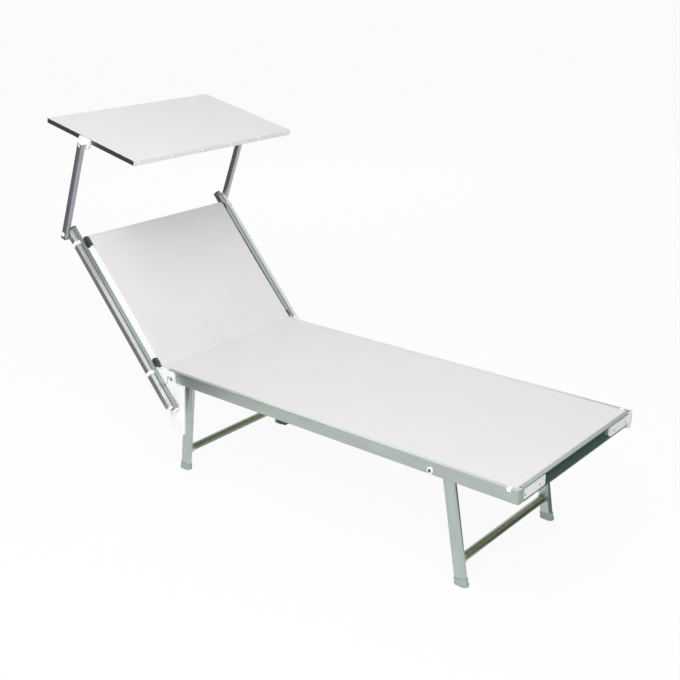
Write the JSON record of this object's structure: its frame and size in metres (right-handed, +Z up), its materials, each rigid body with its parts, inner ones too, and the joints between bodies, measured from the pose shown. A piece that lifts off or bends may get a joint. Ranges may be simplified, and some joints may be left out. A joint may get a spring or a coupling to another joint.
{
  "type": "sun lounger with canopy",
  "caption": "Folding beach sun lounger: anodised frame on folding legs, stretched woven sheet, reclining back and a small flat canopy on swinging arms.",
  "frame": {"origin": "on the ground, under the middle of the bounding box", "axes": "+X towards the foot end, +Y towards the left of someone who lies on it, +Z up"},
  "size_m": [1.7538, 0.747, 1.1507],
  "materials": {
    "anodised_frame": "grey green anodised extrusion, satin",
    "white_nylon": "moulded nylon, satin",
    "grey_nylon": "moulded nylon, satin",
    "dark_nylon": "moulded nylon, satin",
    "zinc_steel": "zinc plated",
    "woven_sheet": "off-white coated polyester mesh, close plain weave"
  },
  "bodies": {
    "seat_frame": {"seat_rail_right": "anodised_frame", "seat_rail_left": "anodised_frame", "foot_rail": "anodised_frame", "rail_end_cap_right": "grey_nylon", "rail_end_cap_left": "white_nylon", "corner_plate_right": "white_nylon", "corner_plate_left": "white_nylon", "seat_fabric": "woven_sheet", "mid_tube": "anodised_frame", "front_axle": "anodised_frame", "rear_axle": "anodised_frame", "hinge_plate_right": "white_nylon", "hinge_plate_left": "white_nylon", "front_leg_bracket_right": "white_nylon", "front_leg_bracket_left": "white_nylon", "rear_leg_bracket_right": "white_nylon", "rear_leg_bracket_left": "white_nylon"},
    "front_legs": {"front_leg_right": "anodised_frame", "front_leg_left": "anodised_frame", "front_foot_right": "grey_nylon", "front_foot_left": "grey_nylon", "front_stretcher": "anodised_frame"},
    "rear_legs": {"rear_leg_right": "anodised_frame", "rear_leg_left": "anodised_frame", "rear_foot_right": "grey_nylon", "rear_foot_left": "grey_nylon", "rear_stretcher": "anodised_frame"},
    "backrest": {"back_rail_right": "anodised_frame", "back_rail_left": "anodised_frame", "hinge_pin_right": "zinc_steel", "hinge_pin_left": "zinc_steel", "back_tube_low": "anodised_frame", "tube_fitting_low_right": "dark_nylon", "tube_fitting_low_left": "dark_nylon", "back_tube_high": "anodised_frame", "tube_fitting_high_right": "dark_nylon", "tube_fitting_high_left": "dark_nylon", "back_fabric": "woven_sheet", "support_bar_right": "anodised_frame", "support_bar_left": "anodised_frame", "bar_clip_low_right": "white_nylon", "bar_clip_low_left": "white_nylon", "bar_clip_high_right": "white_nylon", "bar_clip_high_left": "white_nylon", "bar_cap_right": "white_nylon", "bar_cap_left": "white_nylon", "arm_bolt_right": "white_nylon", "arm_bolt_left": "white_nylon"},
    "canopy_arms": {"canopy_arm_right": "anodised_frame", "canopy_arm_left": "anodised_frame", "clamp_bolt_right": "white_nylon", "clamp_bolt_left": "white_nylon"},
    "canopy": {"canopy_side_tube_right": "anodised_frame", "canopy_side_tube_left": "anodised_frame", "canopy_rear_tube": "anodised_frame", "canopy_front_tube": "anodised_frame", "canopy_clamp_right": "white_nylon", "canopy_clamp_left": "white_nylon", "canopy_fabric": "woven_sheet"}
  },
  "joints": [
    {"name": "front_legs_fold", "type": "hinge", "parent": "seat_frame", "child": "front_legs", "pos_m": [0.61091, 0, 0.365], "axis": [0, 1, 0], "range_deg": [0, 96]},
    {"name": "rear_legs_fold", "type": "hinge", "parent": "seat_frame", "child": "rear_legs", "pos_m": [-0.39509, 0, 0.365], "axis": [0, 1, 0], "range_deg": [-96, 0]},
    {"name": "back_recline", "type": "hinge", "parent": "seat_frame", "child": "backrest", "pos_m": [-0.46109, 0, 0.3686], "axis": [0, 1, 0], "range_deg": [-49.5, 0]},
    {"name": "canopy_arms_swing", "type": "hinge", "parent": "backrest", "child": "canopy_arms", "pos_m": [-0.8155, 0, 0.78355], "axis": [0, 1, 0], "range_deg": [-100, 15]},
    {"name": "canopy_tilt", "type": "hinge", "parent": "canopy_arms", "child": "canopy", "pos_m": [-0.68615, 0, 1.08389], "axis": [0, 1, 0], "range_deg": [-60, 40]}
  ]
}
